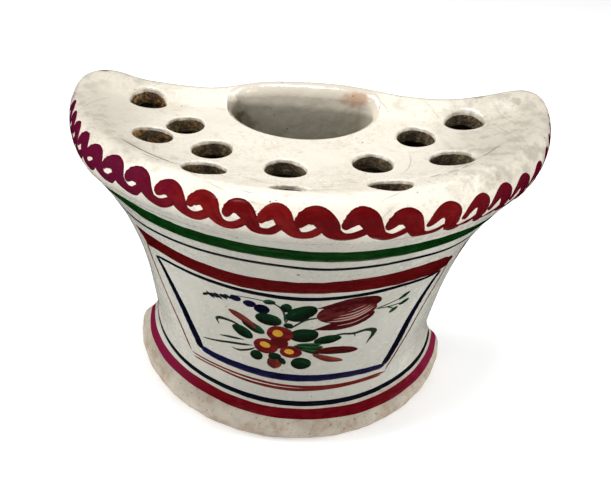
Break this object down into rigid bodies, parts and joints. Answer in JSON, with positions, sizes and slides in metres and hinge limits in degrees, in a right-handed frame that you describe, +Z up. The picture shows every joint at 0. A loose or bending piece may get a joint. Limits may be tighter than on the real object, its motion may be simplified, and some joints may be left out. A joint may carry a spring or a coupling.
{
  "type": "flower frog",
  "caption": "Half-moon glazed earthenware flower holder with a flat back, a dished top pierced with stem holes, and an open D-shaped well at the back.",
  "frame": {"origin": "bottom centre of the bounding box, on the surface the pot stands on", "axes": "+Z up, +Y out of the flat back, -Y out of the round painted front, +X to the right seen from the front"},
  "size_m": [0.2038, 0.098, 0.143],
  "materials": {
    "tin_glaze": "glossy off-white tin glaze with painted enamel bands and flowers",
    "well_glaze": "glossy greyish tin glaze",
    "bare_foot": "worn, thinly glazed earthenware, rough to the touch",
    "biscuit_inside": "bare brown biscuit, matt",
    "crimson_enamel": "glossy brushed enamel",
    "green_enamel": "glossy brushed enamel",
    "blue_enamel": "glossy brushed enamel",
    "yellow_enamel": "glossy brushed enamel"
  },
  "bodies": {
    "root": {"floor_slab": "biscuit_inside", "foot_ring": "bare_foot", "front_wall": "tin_glaze", "back_wall": "tin_glaze", "rim_roll": "tin_glaze", "top_deck": "tin_glaze", "well_wall": "well_glaze", "well_floor": "well_glaze", "floor_seam_coil": "biscuit_inside", "left_seam_coil": "biscuit_inside", "right_seam_coil": "biscuit_inside"}
  },
  "joints": []
}
